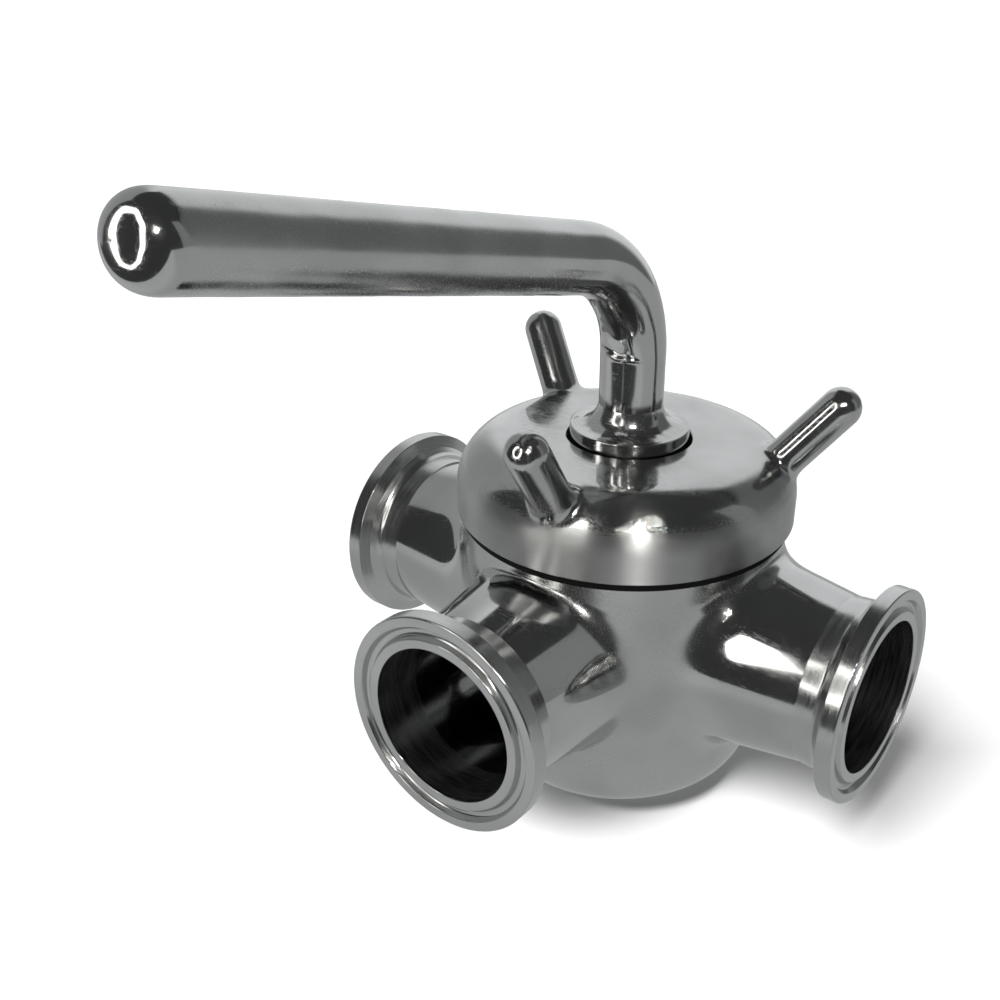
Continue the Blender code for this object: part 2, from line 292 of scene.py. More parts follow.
def applied(obj, mesh):
    """Gives an object another mesh and drops its modifiers."""
    obj.modifiers.clear()
    old = obj.data
    obj.data = mesh
    bpy.data.meshes.remove(old)
    return obj


def evaluated(obj):
    """The object's mesh with its modifiers worked out."""
    bpy.context.view_layer.update()
    deps = bpy.context.evaluated_depsgraph_get()
    return bpy.data.meshes.new_from_object(obj.evaluated_get(deps))


def combine(obj, tools, operation):
    """Booleans each tool into the object and removes the tools."""
    for tool in tools:
        mod = obj.modifiers.new("cut", "BOOLEAN")
        mod.operation = operation
        mod.solver = "MANIFOLD"
        mod.object = tool
        applied(obj, evaluated(obj))
        bpy.data.objects.remove(tool, do_unlink=True)
    return obj


def ripple(points, size, seed):
    """Smooth seeded unevenness over (N, 3) points, mostly between -1 and 1."""
    waves = 24
    rng = np.random.default_rng(seed)
    total = np.zeros(len(points))
    for _ in range(waves):
        way = rng.normal(size=3)
        way *= TAU / size * rng.uniform(0.5, 1.5) / np.linalg.norm(way)
        total += np.sin(points @ way + rng.uniform(0, TAU))
    return total / math.sqrt(waves)


# ---------------------------------------------------------------- blended skins
def smooth_min(a, b, width):
    """The smaller of two fields, with the crease between them filled over about width."""
    h = np.maximum(width - np.abs(a - b), 0.0) / width
    return np.minimum(a, b) - h ** 3 * width / 6


def round_edge(a, b, radius):
    """Both a and b are kept inside, and the edge between them is rounded."""
    return np.minimum(np.maximum(a, b), -radius) + np.hypot(np.maximum(a + radius, 0.0),
                                                            np.maximum(b + radius, 0.0))


def slope_step(t):
    """0 below 0, 1 above 1, and smooth between."""
    t = np.clip(t, 0.0, 1.0)
    return t * t * (3 - 2 * t)


def slope_of(field, points):
    """The field's gradient, by central differences."""
    h = 0.01
    out = np.empty_like(points)
    for axis in range(3):
        step = np.zeros(3)
        step[axis] = h
        out[:, axis] = (field(points + step) - field(points - step)) / (2 * h)
    return out


def settle(field, points, rounds=3):
    """Moves points along the field's slope onto its zero surface."""
    for _ in range(rounds):
        slope = slope_of(field, points)
        size = np.maximum((slope ** 2).sum(1), 0.05)
        move = slope * (field(points) / size)[:, None]
        length = np.linalg.norm(move, axis=1, keepdims=True)
        points = points - move * np.minimum(1.0, 1.5 / np.maximum(length, 1e-9))
    return points


def skin_over(name, field, seeds, voxel):
    """A fine even mesh on the field's zero surface, started from rough seed solids."""
    with_all = bpy.context.copy()
    with_all.update(object=seeds[0], active_object=seeds[0], selected_objects=seeds,
                    selected_editable_objects=seeds)
    with bpy.context.temp_override(**with_all):
        bpy.ops.object.join()
    obj = seeds[0]
    obj.name = name
    remesh = obj.modifiers.new("even", "REMESH")
    remesh.mode = "VOXEL"
    remesh.voxel_size = voxel * MM
    applied(obj, evaluated(obj))
    mesh = obj.data
    count = len(mesh.vertices)
    points = np.empty(count * 3)
    mesh.vertices.foreach_get("co", points)
    points = points.reshape(-1, 3) / MM
    edges = np.empty(len(mesh.edges) * 2, int)
    mesh.edges.foreach_get("vertices", edges)
    a, b = edges.reshape(-1, 2).T
    links = np.bincount(a, minlength=count) + np.bincount(b, minlength=count)
    points = settle(field, points, 4)
    for _ in range(8):
        mean = np.zeros_like(points)
        for axis in range(3):
            mean[:, axis] = (np.bincount(a, points[b, axis], count)
                             + np.bincount(b, points[a, axis], count)) / links
        normal = slope_of(field, points)
        normal /= np.maximum(np.linalg.norm(normal, axis=1, keepdims=True), 1e-9)
        pull = mean - points
        pull -= normal * (pull * normal).sum(1)[:, None]
        points = settle(field, points + pull * 0.6, 1)
    points = settle(field, points, 3)
    mesh.vertices.foreach_set("co", (points * MM).astype(np.float32).ravel())
    mesh.update()
    mesh.shade_smooth()
    return obj


def true_normals(obj, field):
    """Sets exact normals where the mesh lies on the field, and smooth ones on its cut faces."""
    sharp = 32.0
    mesh = obj.data
    mesh.shade_smooth()
    mesh.set_sharp_from_angle(angle=math.radians(sharp))
    loops = len(mesh.loops)
    points = np.empty(len(mesh.vertices) * 3)
    mesh.vertices.foreach_get("co", points)
    points = points.reshape(-1, 3) / MM
    loop_vertex = np.empty(loops, int)
    mesh.loops.foreach_get("vertex_index", loop_vertex)
    normals = np.array([n.vector[:] for n in mesh.corner_normals])
    face_normals = np.array([p.normal[:] for p in mesh.polygons])
    face_sizes = np.array([p.loop_total for p in mesh.polygons])
    face_of_loop = np.repeat(np.arange(len(mesh.polygons)), face_sizes)
    exact = slope_of(field, points)
    exact /= np.maximum(np.linalg.norm(exact, axis=1, keepdims=True), 1e-9)
    near = np.abs(field(points)) < 0.02
    along = (exact[loop_vertex] * face_normals[face_of_loop]).sum(1) > 0.94
    on_skin = near[loop_vertex] & along
    normals[on_skin] = exact[loop_vertex][on_skin]
    mesh.normals_split_custom_set(normals.tolist())


# ---------------------------------------------------------------- materials
class Look:
    """A node material under construction, with a Principled shader at its end."""

    def __init__(self, name, colour, rough, metal):
        self.mat = bpy.data.materials.new(name)
        self.mat.use_nodes = True
        self.tree = self.mat.node_tree
        self.shader = self.tree.nodes["Principled BSDF"]
        self.shader.inputs["Base Color"].default_value = (*colour, 1.0)
        self.shader.inputs["Roughness"].default_value = rough
        self.shader.inputs["Metallic"].default_value = metal
        self.place = self.tree.nodes.new("ShaderNodeTexCoord").outputs["Object"]

    def node(self, kind, **values):
        """A node whose keyword values set its properties, or its sockets by name or number."""
        new = self.tree.nodes.new(kind)
        sockets = values.pop("sockets", {})
        for key, value in values.items():
            setattr(new, key, value)
        for key, value in sockets.items():
            if isinstance(value, bpy.types.NodeSocket):
                self.tree.links.new(value, new.inputs[key])
            else:
                new.inputs[key].default_value = value
        return new

    def maths(self, operation, a, b=0.0):
        return self.node("ShaderNodeMath", operation=operation, sockets={0: a, 1: b}).outputs[0]

    def spread(self, value, low, high, to_low, to_high):
        """A smooth step from to_low to to_high while the value runs from low to high."""
        return self.node("ShaderNodeMapRange", interpolation_type="SMOOTHSTEP", sockets={
            "Value": value, "From Min": low, "From Max": high,
            "To Min": to_low, "To Max": to_high}).outputs[0]

    def noise(self, size, stretch=(1, 1, 1), detail=3.0, turn=(0, 0, 0), where=None):
        """Noise whose blobs measure about size millimetres."""
        scaled = self.node("ShaderNodeMapping", sockets={
            "Vector": where or self.place, "Rotation": turn,
            "Scale": tuple(1.0 / (size * MM * s) for s in stretch)}).outputs[0]
        return self.node("ShaderNodeTexNoise", sockets={
            "Vector": scaled, "Scale": 1.0, "Detail": detail}).outputs[0]

    def scratches(self, turn, width=0.12, length=14.0, keep=0.66):
        """Fine straight marks lying one way."""
        field = self.noise(1.0, (length, width, width * 3), 1.0, turn)
        return self.spread(field, keep, keep + 0.06, 0.0, 1.0)

    def bump(self, height, depth, below=None):
        """Bump of a depth in millimetres, over the normal below it."""
        sockets = {"Height": height, "Distance": depth * MM, "Strength": 1.0}
        if below is not None:
            sockets["Normal"] = below
        return self.node("ShaderNodeBump", sockets=sockets).outputs[0]

    def wire(self, socket, output):
        self.tree.links.new(output, self.shader.inputs[socket])


STEEL = (0.56, 0.565, 0.56)
# painted shade: the steel in the bores, the cup and the plug is coloured near black for the shade inside
# them
BORE_PAINTED_SHADE = (0.03, 0.03, 0.03)      # the photo shows the bores nearly black
PLUG_PAINTED_SHADE = (0.015, 0.015, 0.015)
RUBBER = (0.005, 0.005, 0.005)
PTFE = (0.8, 0.8, 0.77)


def tinted(look, colour, amount, size):
    """Lets the base colour drift a little, as handled steel does."""
    drift = look.noise(size, detail=2.0)
    shade = look.spread(drift, 0.3, 0.7, 1.0 - amount, 1.0)
    mixed = look.node("ShaderNodeMix", data_type="RGBA", blend_type="MULTIPLY", sockets={
        0: 1.0, 6: (*colour, 1.0)})
    look.tree.links.new(look.node("ShaderNodeCombineColor", sockets={
        0: shade, 1: shade, 2: shade}).outputs[0], mixed.inputs[7])
    look.wire("Base Color", mixed.outputs[2])


def axis_distance(look):
    """Metres from the object's Z axis."""
    x, y, _ = look.node("ShaderNodeSeparateXYZ", sockets={0: look.place}).outputs
    squares = look.maths("ADD", look.maths("MULTIPLY", x, x), look.maths("MULTIPLY", y, y))
    return look.maths("SQRT", squares)


def steel_rings(look, size=0.16):
    """Fine lines about the piece's own Z axis, broken up a little round it."""
    x, y, z = look.node("ShaderNodeSeparateXYZ", sockets={0: look.place}).outputs
    round_it = look.maths("MULTIPLY", look.maths("ARCTAN2", y, x), 0.0006)
    ring = look.node("ShaderNodeCombineXYZ", sockets={0: axis_distance(look), 1: z, 2: round_it})
    fine = look.noise(size, detail=2.0, where=ring.outputs[0])
    broad = look.noise(size * 6, detail=2.0, where=ring.outputs[0])
    return look.maths("ADD", look.maths("MULTIPLY", fine, 0.7), look.maths("MULTIPLY", broad, 0.3))


def satin_body(look):
    """1 on the cup's own wall, 0 out on the ports."""
    wall = BODY_TOP_R + 0.1
    return look.spread(axis_distance(look), (wall + 3.7) * MM, wall * MM, 0.0, 1.0)


def satin_grip(look):
    """1 along the grip, 0 on the leg and on the domed end."""
    away = axis_distance(look)
    reach = math.hypot(*handle_line(np.array([GRIP_END]))[0][0][:2])
    begins = look.spread(away, 20.0 * MM, 45.0 * MM, 0.0, 1.0)
    ends = look.spread(away, (reach - 1.5) * MM, (reach + 1.0) * MM, 1.0, 0.0)
    return look.maths("MULTIPLY", begins, ends)


def polished(name, rough=0.07, smear=0.05, wave=0.02, satin=None):
    """Hand polished stainless steel: a soft wave, smears and hairline marks.

    satin is (maker of a 0 to 1 share, roughness), and the steel is that dull where the share is 1.
    """
    mark_rough = 0.12
    look = Look(name, STEEL, rough, 1.0)
    tinted(look, STEEL, 0.16, 20.0)
    smears = look.spread(look.noise(16.0, (1, 1, 1.6), 4.0), 0.35, 0.75, 0.0, smear)
    one = look.scratches((0.4, 0.3, 0.9))
    two = look.scratches((1.2, -0.5, -0.4), 0.1, 9.0, 0.68)
    lines = look.maths("MAXIMUM", one, two)
    total = look.maths("ADD", smears, look.maths("MULTIPLY", lines, mark_rough))
    base = rough
    if satin is not None:
        share, dull = satin[0](look), satin[1]
        patchy = look.spread(look.noise(4.0, detail=3.0), 0.3, 0.7, dull - 0.015, dull + 0.02)
        dull_part = look.maths("MULTIPLY", patchy, share)
        bright_part = look.maths("MULTIPLY", look.maths("SUBTRACT", 1.0, share), rough)
        base = look.maths("ADD", dull_part, bright_part)
    look.wire("Roughness", look.maths("ADD", total, base))
    soft = look.bump(look.noise(11.0, detail=1.5), wave)
    look.wire("Normal", look.bump(lines, -0.002, soft))
    return look.mat


def brushed_cap(name):
    """The cap: a finely scuffed top, and brush lines running round its shoulder and side."""
    look = Look(name, STEEL, 0.1, 1.0)
    look.shader.inputs["Anisotropic"].default_value = 0.95
    look.shader.inputs["Anisotropic Rotation"].default_value = 0.25
    look.wire("Tangent", look.node("ShaderNodeTangent", direction_type="RADIAL", axis="Z").outputs[0])
    tinted(look, STEEL, 0.16, 20.0)
    height = look.node("ShaderNodeSeparateXYZ", sockets={0: look.place}).outputs[2]
    side = look.spread(height, (CAP_TOP_Z - 7.5) * MM, (CAP_TOP_Z - 4.0) * MM, 1.0, 0.0)
    low = look.spread(height, (CAP_LIP_Z + 5.0) * MM, (CAP_LIP_Z + 12.0) * MM, 1.0, 0.0)
    lines = steel_rings(look, 0.12)
    scuffs = look.maths("MAXIMUM", look.scratches((0.0, 0.1, 0.9), 0.1, 5.0, 0.6),
                        look.scratches((0.1, 0.0, -0.7), 0.09, 4.0, 0.6))
    top = look.spread(look.noise(9.0, detail=4.0), 0.3, 0.7, 0.06, 0.10)
    duller = look.maths("ADD", look.maths("MULTIPLY", side, 0.24), look.maths("MULTIPLY", low, 0.06))
    smooth = look.maths("ADD", top, duller)
    total = look.maths("ADD", smooth, look.maths("MULTIPLY", scuffs, 0.12))
    streaky = look.maths("MULTIPLY", look.spread(lines, 0.3, 0.7, -0.05, 0.05), side)
    look.wire("Roughness", look.maths("ADD", total, streaky))
    soft = look.bump(look.noise(12.0, detail=2.5), 0.03)
    scuffed = look.bump(scuffs, -0.0025, soft)
    brushed = look.maths("MULTIPLY", lines, low)
    look.wire("Normal", look.bump(brushed, 0.006, scuffed))
    return look.mat


def turned(name, rough=0.2, colour=STEEL):
    """Lathe-turned steel, with fine rings about the piece's own Z axis."""
    ring_depth = 0.004
    look = Look(name, colour, rough, 1.0)
    tinted(look, colour, 0.12, 22.0)
    lines = steel_rings(look)
    look.wire("Roughness", look.spread(lines, 0.35, 0.65, rough * 0.7, rough * 1.35))
    look.wire("Normal", look.bump(lines, ring_depth))
    return look.mat


def plain(name, colour, rough, grain, depth, gloss=0.5):
    """Rubber and PTFE: a faint grain, with dustier patches."""
    look = Look(name, colour, rough, 0.0)
    look.shader.inputs["Specular IOR Level"].default_value = gloss
    tinted(look, colour, 0.25, 6.0)
    look.wire("Roughness", look.spread(look.noise(3.0), 0.3, 0.7, rough - 0.08, rough + 0.1))
    look.wire("Normal", look.bump(look.noise(grain, detail=4.0), depth))
    return look.mat


def finish_piece(obj, mats, body, nodes):
    """Gives a piece its looks, the body it rides on and the CAD nodes it stands for."""
    obj.data.materials.clear()
    for mat in mats if isinstance(mats, list) else [mats]:
        obj.data.materials.append(mat)
    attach(obj, body)
    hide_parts(*nodes)


# ---------------------------------------------------------------- body with its ports
QUARTER = math.pi / 2
PORT_TURN = {"right": (0, QUARTER, 0), "left": (0, -QUARTER, 0), "front": (QUARTER, 0, 0)}


def port_place(side):
    """Turns a piece's Z onto a port's axis."""
    return Matrix.Translation((0, 0, PORT_H * MM)) @ Euler(PORT_TURN[side]).to_matrix().to_4x4()


def seat_r(z):
    """Radius of the tapered seat at a height."""
    return PLUG_MID_R + PLUG_TAPER * (z - PORT_H)


def port_coordinates(points, side):
    """How far out along a port, and how far from its axis."""
    out = {"right": points[:, 0], "left": -points[:, 0], "front": -points[:, 1]}[side]
    across = points[:, 0] if side == "front" else points[:, 1]
    return out, np.hypot(across, points[:, 2] - PORT_H)


def body_field(points):
    """Negative inside the cup and its three necks, before they are hollowed."""
    radius = np.hypot(points[:, 0], points[:, 1])
    height = points[:, 2]
    lean = (BODY_TOP_R - BODY_FOOT_R) / (STRAIGHT_Z - BODY_CORNER)
    leaning_r = BODY_FOOT_R + lean * (height - BODY_CORNER)
    side_r = smooth_min(leaning_r, np.full_like(height, BODY_TOP_R), 0.8)
    shape = round_edge(radius - side_r, -height, BODY_CORNER)
    shape = np.maximum(shape, height - (NECK_TOP_Z + SPARE))
    below_rim = slope_step((SHOULDER_Z - RIM_GAP - height) / RIM_BAND)
    spread = WELD_LEAST + (1.0 - WELD_LEAST) * below_rim
    for side, reach in REACH.items():
        out, across = port_coordinates(points, side)
        tip = reach - FERRULE_LEN
        cone = STUB_ROOT_R + (STUB_TIP_R - STUB_ROOT_R) * (out - STUB_ROOT_X) / (tip - STUB_ROOT_X)
        stub = np.maximum(across - cone, np.maximum(out - tip - 3.0, 8.0 - out))
        shape = smooth_min(shape, stub, WELD_FILLET[side] * spread)
    return shape


def thread_ridge(name, root, crest, turns, start=0.0):
    """A helical ridge that starts at an angle, and fades in and out at its ends."""
    steps = int(THREAD_STEPS * turns)
    wide, narrow = 0.75, 0.3
    points = []
    for i in range(steps + 1):
        angle = TAU * i / THREAD_STEPS
        fade = min(1.0, (i + 2) / THREAD_FADE, (steps - i + 2) / THREAD_FADE)
        tip = root + (crest - root) * fade
        z = THREAD_Z + PITCH * i / THREAD_STEPS
        for r, dz in ((root, wide), (tip, narrow), (tip, -narrow), (root, -wide)):
            points.append((r * math.cos(angle + start), r * math.sin(angle + start), z + dz))
    faces = []
    for i in range(steps):
        for k in range(4):
            k2 = (k + 1) % 4
            faces.append((4 * i + k, 4 * i + k2, 4 * i + 4 + k2, 4 * i + 4 + k))
    faces += [(3, 2, 1, 0), tuple(4 * steps + k for k in range(4))]
    if crest < root:
        faces = [f[::-1] for f in faces]
    return mesh_object(name, points, faces)


def make_body():
    top = NECK_TOP_Z + SPARE
    seeds = [lathe("seed_cup", [(0, top), (BODY_TOP_R - 0.5, top), (BODY_FOOT_R - 0.5, 0.5), (0, 0.5)],
                   steps=64)]
    for side, reach in REACH.items():
        tip = reach - FERRULE_LEN + 3.0
        root = 20.0                               # well inside the cup
        outline = [(0, tip), (STUB_TIP_R - 0.4, tip), (STUB_ROOT_R + 1.0, root), (0, root)]
        seeds.append(lathe("seed_" + side, outline, steps=64, place=port_place(side)))
    for seed in seeds:
        seed.data.transform(seed.matrix_world)
        seed.matrix_world = Matrix.Identity(4)
    body = skin_over("body_skin", body_field, seeds, 0.8)
    outside_r = BODY_TOP_R + 0.7
    inside = lathe("inside", [
        (0, ABOVE_ALL), (outside_r, ABOVE_ALL),
        (outside_r, SHOULDER_Z - 1.2), (BODY_TOP_R - 0.5, SHOULDER_Z),
        (NECK_R, SHOULDER_Z), (NECK_R, NECK_TOP_Z - 0.5), (NECK_R - 0.5, NECK_TOP_Z),
        (seat_r(NECK_TOP_Z) + SEAT_GAP, NECK_TOP_Z), (seat_r(FLOOR_Z + 1.5) + SEAT_GAP, FLOOR_Z + 1.5),
        (seat_r(FLOOR_Z) - 1.2, FLOOR_Z), (0, FLOOR_Z)])
    tools = [inside]
    for side, reach in REACH.items():
        tip = reach - FERRULE_LEN
        end, wide, start = tip + 9.0, 30.0, 10.0  # past the skin's end, past its side, inside the seat
        outline = [(0, end), (wide, end), (wide, tip), (BORE_R, tip), (BORE_R, start), (0, start)]
        tools.append(lathe("bore_" + side, outline, place=port_place(side)))
    combine(body, tools, "DIFFERENCE")
    thread = thread_ridge("male", NECK_R - THREAD_SUNK, MALE_CREST_R, MALE_TURNS)
    combine(body, [thread], "UNION")
    true_normals(body, body_field)
    mark_inside(body)
    return body


def mark_inside(body):
    """Gives the faces in the cup and the bores the second material, steel painted near black as shade."""
    for face in body.data.polygons:
        x, y, z = face.center / MM
        in_run = math.hypot(y, z - PORT_H) < BORE_R + 0.2
        in_branch = y < 0 and math.hypot(x, z - PORT_H) < BORE_R + 0.2
        in_cup = math.hypot(x, y) < NECK_R - 0.3 and FLOOR_Z - 0.2 < z < NECK_TOP_Z - 0.2
        if in_run or in_branch or in_cup:
            face.material_index = 1


def ferrule_section():
    """Clamp ferrule from its sealing face at 0 back to the stub, with the face's gasket groove."""
    return [(BORE_R, 0.0, 0.2), (20.1, 0.0, 0.25), (20.8, -1.5, 0.7), (22.2, -1.5, 0.7),
            (22.9, 0.0, 0.25), (FLANGE_R, 0.0, 0.4), (FLANGE_R, -3.8, 0.25), (22.3, -4.9, 0.5),
            (20.5, -6.6, 2.6), (STUB_TIP_R, -FERRULE_LEN), (BORE_R, -FERRULE_LEN)]


def make_ferrule(side):
    place = port_place(side) @ Matrix.Translation((0, 0, REACH[side] * MM))
    ferrule = lathe("ferrule_" + side, ferrule_section(), closed=True, steps=192, place=place)
    for face in ferrule.data.polygons:
        if math.hypot(face.center.x, face.center.y) < (BORE_R + 0.02) * MM:
            # painted shade: the bore's wall takes the steel painted near black
            face.material_index = 1               # the bore's own wall
    return ferrule


# ---------------------------------------------------------------- plug and its seals
def make_plug():
    groove_top = PLUG_RING_Z + PLUG_GROOVE_HALF
    groove_foot = PLUG_RING_Z - PLUG_GROOVE_HALF
    plug = lathe("tapered_plug", [
        (0, plug_high.z), (seat_r(plug_high.z), plug_high.z, 0.5), (seat_r(groove_top), groove_top, 0.2),
        (PLUG_GROOVE_R, groove_top, 0.3), (PLUG_GROOVE_R, groove_foot, 0.3),
        (seat_r(groove_foot), groove_foot, 0.2), (seat_r(plug_low.z + 0.5), plug_low.z, 1.0),
        (0, plug_low.z)])
    past = 45.0                                   # well outside the plug
    run = lathe("run", [(0, past), (PASSAGE_R, past), (PASSAGE_R, -past), (0, -past)],
                place=port_place("right"))
    branch = lathe("branch", [(0, past), (PASSAGE_R, past), (PASSAGE_R, 0), (0, 0)],
                   place=port_place("front"))
    combine(plug, [run, branch], "DIFFERENCE")
    plug.data.shade_smooth()
    plug.data.set_sharp_from_angle(angle=math.radians(30))
    return plug


def hoop(name, radius, height, minor):
    """A round-sectioned ring."""
    edge = minor * 0.999                          # its square section is filleted into a circle
    return lathe(name, [(radius - minor, height + minor, edge), (radius + minor, height + minor, edge),
                        (radius + minor, height - minor, edge), (radius - minor, height - minor, edge)],
                 closed=True)


# ---------------------------------------------------------------- cap nut with its pins
def pin_ends():
    """Where each pin starts inside the cap and where its round tip is centred."""
    for azimuth, rise in PIN_SET:
        a, e = math.radians(azimuth), math.radians(rise)
        way = np.array([math.cos(a) * math.cos(e), math.sin(a) * math.cos(e), math.sin(e)])
        foot = np.array([PIN_BASE_R * math.cos(a), PIN_BASE_R * math.sin(a), PIN_BASE_Z])
        yield foot - way * PIN_SUNK, foot + way * (PIN_LEN - PIN_R)


def cap_field(points):
    """Negative inside the cap and its pins, before they are hollowed."""
    radius = np.hypot(points[:, 0], points[:, 1])
    shape = round_edge(radius - CAP_R, points[:, 2] - CAP_TOP_Z, CAP_SHOULDER_R)
    shape = np.maximum(shape, CAP_LIP_Z - SPARE - points[:, 2])
    for foot, tip in pin_ends():
        way = tip - foot
        t = np.clip((points - foot) @ way / (way @ way), 0.0, 1.0)
        pin = np.linalg.norm(points - foot - t[:, None] * way, axis=1) - PIN_R
        shape = smooth_min(shape, pin, PIN_FILLET)
    return shape


def make_cap():
    top, side_r, foot_z = CAP_TOP_Z - 0.3, CAP_R - 0.3, CAP_LIP_Z - SPARE
    seeds = [lathe("seed_cap", [(0, top), (side_r, top, CAP_SHOULDER_R), (side_r, foot_z), (0, foot_z)],
                   steps=64)]
    for number, (foot, tip) in enumerate(pin_ends()):
        way = Vector(tip - foot)
        end = way.length + PIN_R
        outline = [(0, end), (PIN_R, end, PIN_R - 0.1), (PIN_R, 0), (0, 0)]
        seeds.append(lathe("seed_pin_%d" % number, outline, steps=32))
        place = Matrix.Translation(Vector(foot) * MM) @ way.to_track_quat("Z", "Y").to_matrix().to_4x4()
        seeds[-1].data.transform(place)
    cap = skin_over("cap_skin", cap_field, seeds, 0.55)
    hole, past_lip, below = CAP_HOLE_R, CAP_R + SPARE - 0.4, 58.0
    groove_top, groove_foot = SEAL_Z + SEAL_GROOVE_HALF, SEAL_Z - SEAL_GROOVE_HALF
    inside = lathe("inside", [
        (0, ABOVE_ALL), (hole + 7.1, ABOVE_ALL), (hole, CAP_TOP_Z - 0.3), (hole, groove_top),
        (SEAL_GROOVE_R, groove_top), (SEAL_GROOVE_R, groove_foot), (hole, groove_foot),
        (hole, CAP_CEILING_Z), (CAP_ROOT_R - 0.5, CAP_CEILING_Z), (CAP_ROOT_R, CAP_CEILING_Z - 0.5),
        (CAP_ROOT_R, CAP_LIP_Z), (CAP_R - 0.4, CAP_LIP_Z), (past_lip, CAP_LIP_Z + SPARE),
        (past_lip, below), (0, below)])
    combine(cap, [inside], "DIFFERENCE")
    thread = thread_ridge("female", CAP_ROOT_R + THREAD_SUNK, FEMALE_CREST_R, FEMALE_TURNS, math.pi)
    combine(cap, [thread], "UNION")
    true_normals(cap, cap_field)
    return cap


# ---------------------------------------------------------------- stem collar and handle
ALONG = np.array([math.cos(HANDLE_TURN), math.sin(HANDLE_TURN), 0.0])
UP = np.array([0.0, 0.0, 1.0])
ACROSS = np.cross(ALONG, UP)
SWEEP = math.pi / 2 - RISE
LEAD = BEND_R * math.tan(SWEEP / 2)
LEG_FOOT_Z = STEM_TOP_Z + 0.4
BEND_START = CORNER_Z - LEAD - LEG_FOOT_Z        # length of the straight leg
BEND_END = BEND_START + BEND_R * SWEEP
GRIP_END = BEND_END + GRIP_LEN - LEAD            # where the dome starts
SEAM_AT = 18.2                                   # up the leg, where the bend was welded on
SEAM_SIDE = math.pi + 0.17                       # round the leg, the middle of the part that shows


def handle_line(s):
    """Centre and direction of the handle at a distance s from its foot."""
    a = np.clip((s - BEND_START) / BEND_R, 0.0, SWEEP)
    rise = np.minimum(s, BEND_START)
    run = np.maximum(s - BEND_END, 0.0)
    level = BEND_R * (1 - np.cos(a)) + run * np.sin(a)
    height = LEG_FOOT_Z + rise + BEND_R * np.sin(a) + run * np.cos(a)
    centre = level[:, None] * ALONG + height[:, None] * UP
    way = np.sin(a)[:, None] * ALONG + np.cos(a)[:, None] * UP
    return centre, way


def handle_surface(u, v):
    """u is the distance from the foot; past the grip it winds over the domed end."""
    past = np.clip((u - GRIP_END) / DOME, 0.0, 1.0)
    a = past * math.pi / 2
    s = np.minimum(u, GRIP_END) + DOME * np.sin(a) ** (2 / DOME_SQUARE)
    radius = np.maximum(BAR_R * np.maximum(np.cos(a), 0.0) ** (2 / DOME_SQUARE), 0.02)
    centre, way = handle_line(s)
    inward = np.cross(np.broadcast_to(ACROSS, way.shape), way)
    ring = np.cos(v)[:, None] * inward + np.sin(v)[:, None] * ACROSS
    # the weld between the leg and the bend stands proud on the inner side, with ground flats over it
    turn = np.remainder(v - SEAM_SIDE + math.pi, TAU) - math.pi
    probe = np.stack([s, np.cos(v) * BAR_R, np.sin(v) * BAR_R], 1)
    offset = s - SEAM_AT - 0.35 * ripple(probe, 5.0, 5) + 1.2 * turn
    bead = np.exp(-(offset / 0.75) ** 2) * np.exp(-(turn / 0.55) ** 4) * 0.34
    above = slope_step(offset / 1.5) * slope_step((SEAM_AT + 17.0 - s) / 10.0)
    crease_at = 0.5 - 0.012 * (s - SEAM_AT)
    side = slope_step((crease_at - turn) / 0.16) * slope_step((turn + 1.3) / 0.9)
    ground = above * side * (0.22 * ripple(probe, 8.0, 11) - 0.42)
    hand = 0.02 * ripple(probe, 9.0, 14)
    radius = radius + (bead + ground + hand) * (1.0 - past)
    return centre + ring * radius[:, None]


def make_handle():
    us = np.concatenate([
        np.linspace(-0.3, BEND_END, 210)[:-1], np.linspace(BEND_END, GRIP_END, 60)[:-1],
        GRIP_END + DOME * np.linspace(0.0, 1.0, 34)])
    return tube_sheet("handle_bar", handle_surface, us, 128)


def weld_surface(u, v):
    """The flared weld from the collar's edge (u 0) in and up to the leg (u 1)."""
    rim = np.clip(u, 0.0, 1.0)
    radius = BAR_R - 0.5 + (STEM_R - BAR_R + 0.1) * (1 - rim) ** 1.9
    height = LEG_FOOT_Z - 0.5 + 1.6 * rim + 9.4 * rim ** 3.0
    flat = np.stack([radius * np.cos(v), radius * np.sin(v), height], 1)
    rough = 0.10 * ripple(flat, 8.0, 21) + 0.035 * ripple(flat, 3.0, 22)
    fade = np.clip(rim / 0.12, 0.0, 1.0) * np.clip((1 - rim) / 0.1, 0.0, 1.0)
    height = height + rough * fade
    return np.stack([radius * np.cos(v), radius * np.sin(v), height], 1)


def make_weld():
    us = np.linspace(0.0, 1.0, 60)
    return tube_sheet("leg_weld_flare", weld_surface, us, 160)


# ---------------------------------------------------------------- camera and light
def direction(azimuth, elevation):
    """Azimuth 0 is the front and 90 the right."""
    a, e = math.radians(azimuth), math.radians(elevation)
    return Vector((math.sin(a) * math.cos(e), -math.cos(a) * math.cos(e), math.sin(e)))


def make_camera():
    azimuth, elevation, roll = 33.06, 27.48, math.radians(2.68)
    distance = 294.3
    target = Vector((0.0, 0.0, PORT_H + 17.13))
    back = direction(azimuth, elevation)
    right = direction(azimuth + 90.0, 0.0)
    up = back.cross(right)
    tilted_right = right * math.cos(roll) + up * math.sin(roll)
    tilted_up = up * math.cos(roll) - right * math.sin(roll)
    data = bpy.data.cameras.new("camera")
    data.sensor_width = 36.0
    data.lens = 43.32
    data.shift_x, data.shift_y = -0.1246, 0.0382
    data.clip_start, data.clip_end = 0.01, 50.0
    camera = link(bpy.data.objects.new("camera", data))
    turn = Matrix((tilted_right, tilted_up, back)).transposed().to_4x4()
    camera.matrix_world = Matrix.Translation((target + back * distance) * MM) @ turn
    bpy.context.scene.camera = camera


